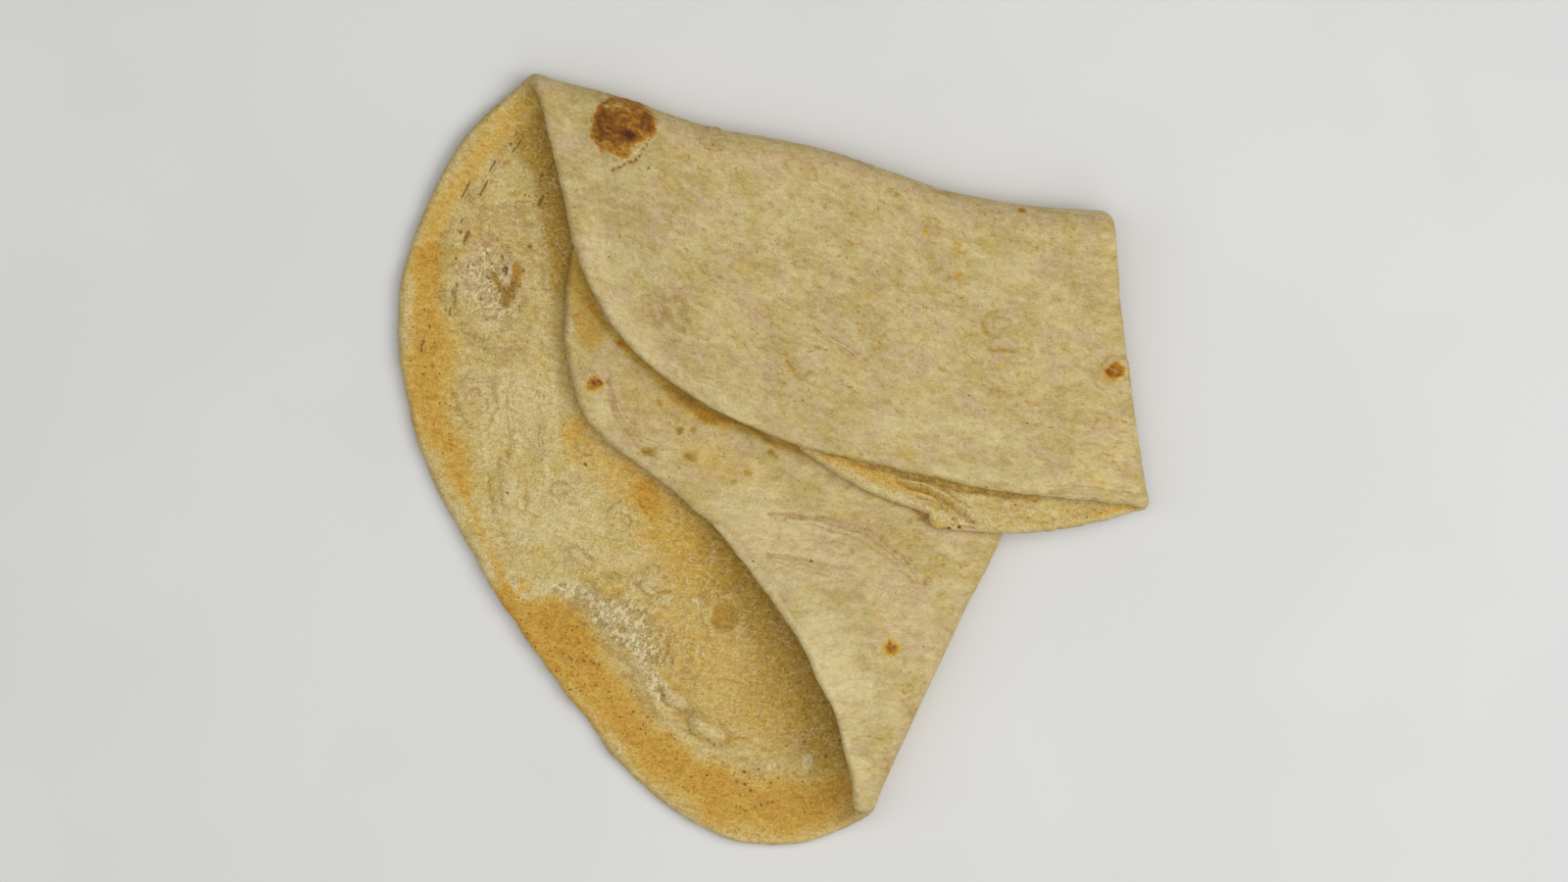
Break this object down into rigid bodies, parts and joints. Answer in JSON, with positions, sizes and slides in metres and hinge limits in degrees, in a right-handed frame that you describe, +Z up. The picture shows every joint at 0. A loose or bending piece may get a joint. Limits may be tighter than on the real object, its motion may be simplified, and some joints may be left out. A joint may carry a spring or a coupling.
{
  "type": "tandoor flatbread",
  "caption": "Large round tandoor flatbread, folded in half and then folded over again, lying on its wide bottom layer.",
  "frame": {"origin": "middle of the folded bread's footprint, on the surface that it lies on", "axes": "+Z up out of the table, +X towards the corner where both folds cross, +Y towards the second fold"},
  "size_m": [0.2756, 0.2832, 0.0277],
  "materials": {
    "crust": "matte"
  },
  "bodies": {
    "root": {"flatbread": "crust"}
  },
  "joints": []
}
